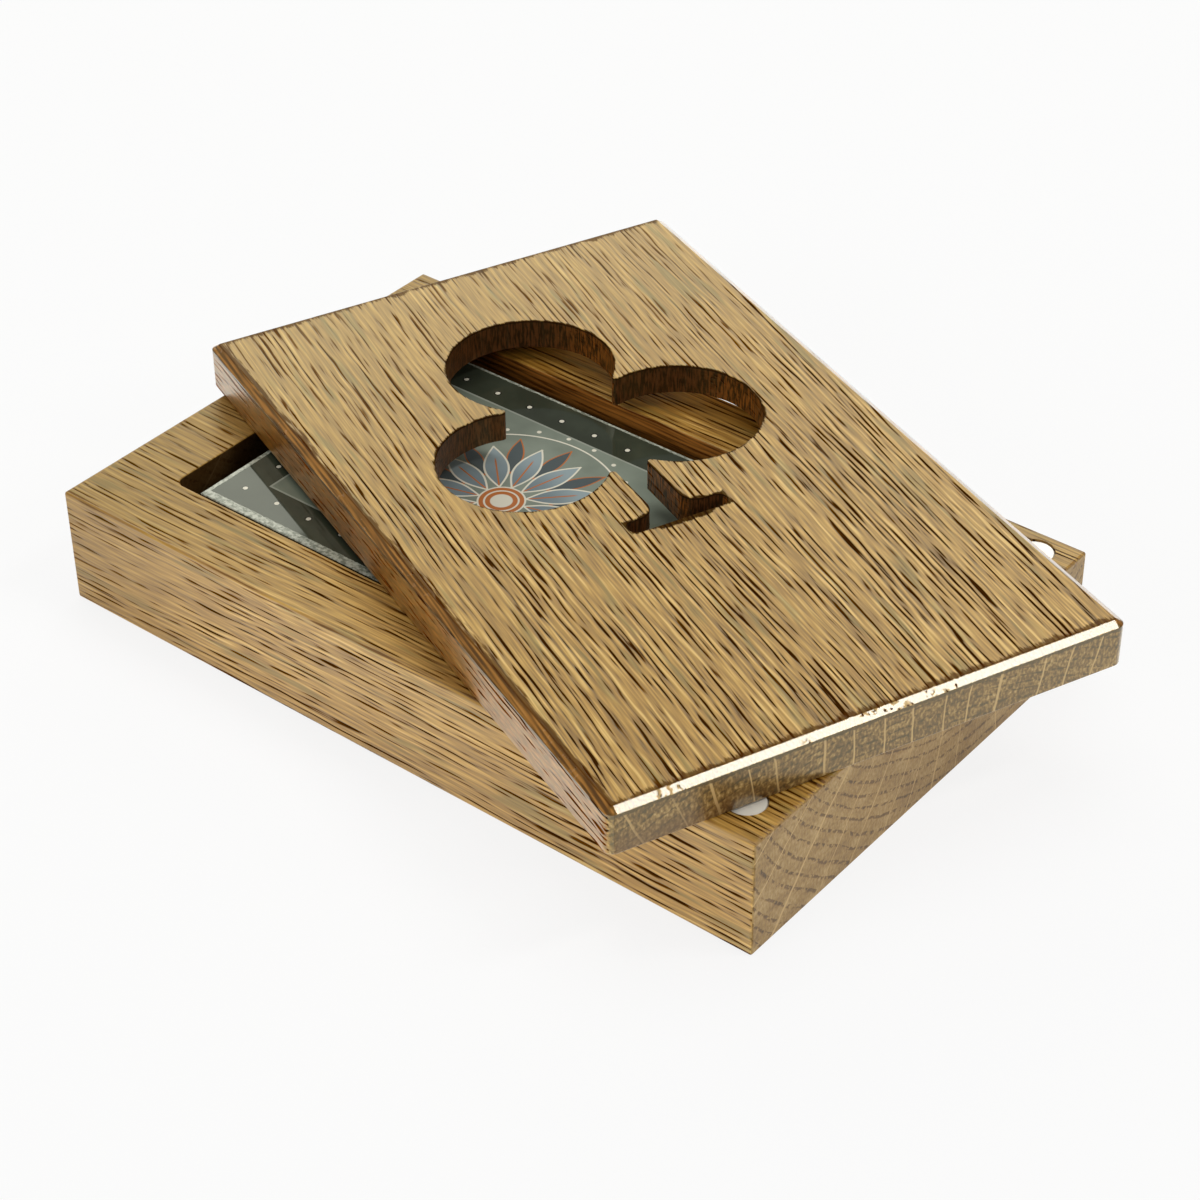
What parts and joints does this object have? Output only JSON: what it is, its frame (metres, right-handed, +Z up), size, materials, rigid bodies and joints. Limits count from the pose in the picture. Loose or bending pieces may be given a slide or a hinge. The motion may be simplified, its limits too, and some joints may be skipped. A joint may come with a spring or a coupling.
{
  "type": "playing card case",
  "caption": "Wooden block case with a milled pocket holding a carton of playing cards, and a loose chamfered lid board, recessed underneath, with a club-shaped window, held shut by disc magnets.",
  "frame": {"origin": "middle of the base's flat underside", "axes": "+X along the case towards the end with the magnets, +Y across it, +Z up, the way the lid lifts"},
  "size_m": [0.183, 0.1514, 0.0332],
  "materials": {
    "oak_base": "stained open-grained oak under gloss lacquer",
    "oak_lid": "stained open-grained oak under gloss lacquer",
    "magnet_nickel": "bright nickel plate",
    "carton_board": "printed and varnished board",
    "card_paper": "smooth coated card"
  },
  "bodies": {
    "base": {"base_block": "oak_base", "base_magnet_near": "magnet_nickel", "base_magnet_far": "magnet_nickel"},
    "lid": {"lid_board": "oak_lid", "lid_magnet_near": "magnet_nickel", "lid_magnet_far": "magnet_nickel"},
    "carton": {"card_carton": "carton_board", "playing_cards": "card_paper"}
  },
  "joints": [
    {"name": "lid_lift", "type": "slide", "parent": "base", "child": "lid", "axis": [0, 0, 1], "range_m": [0, 0.06]},
    {"name": "carton_lift", "type": "slide", "parent": "base", "child": "carton", "axis": [0, 0, 1], "range_m": [0, 0.03]}
  ],
  "couplings": [
    {"joint": "carton_lift", "follows": "lid_lift", "ratio": 0.5}
  ]
}
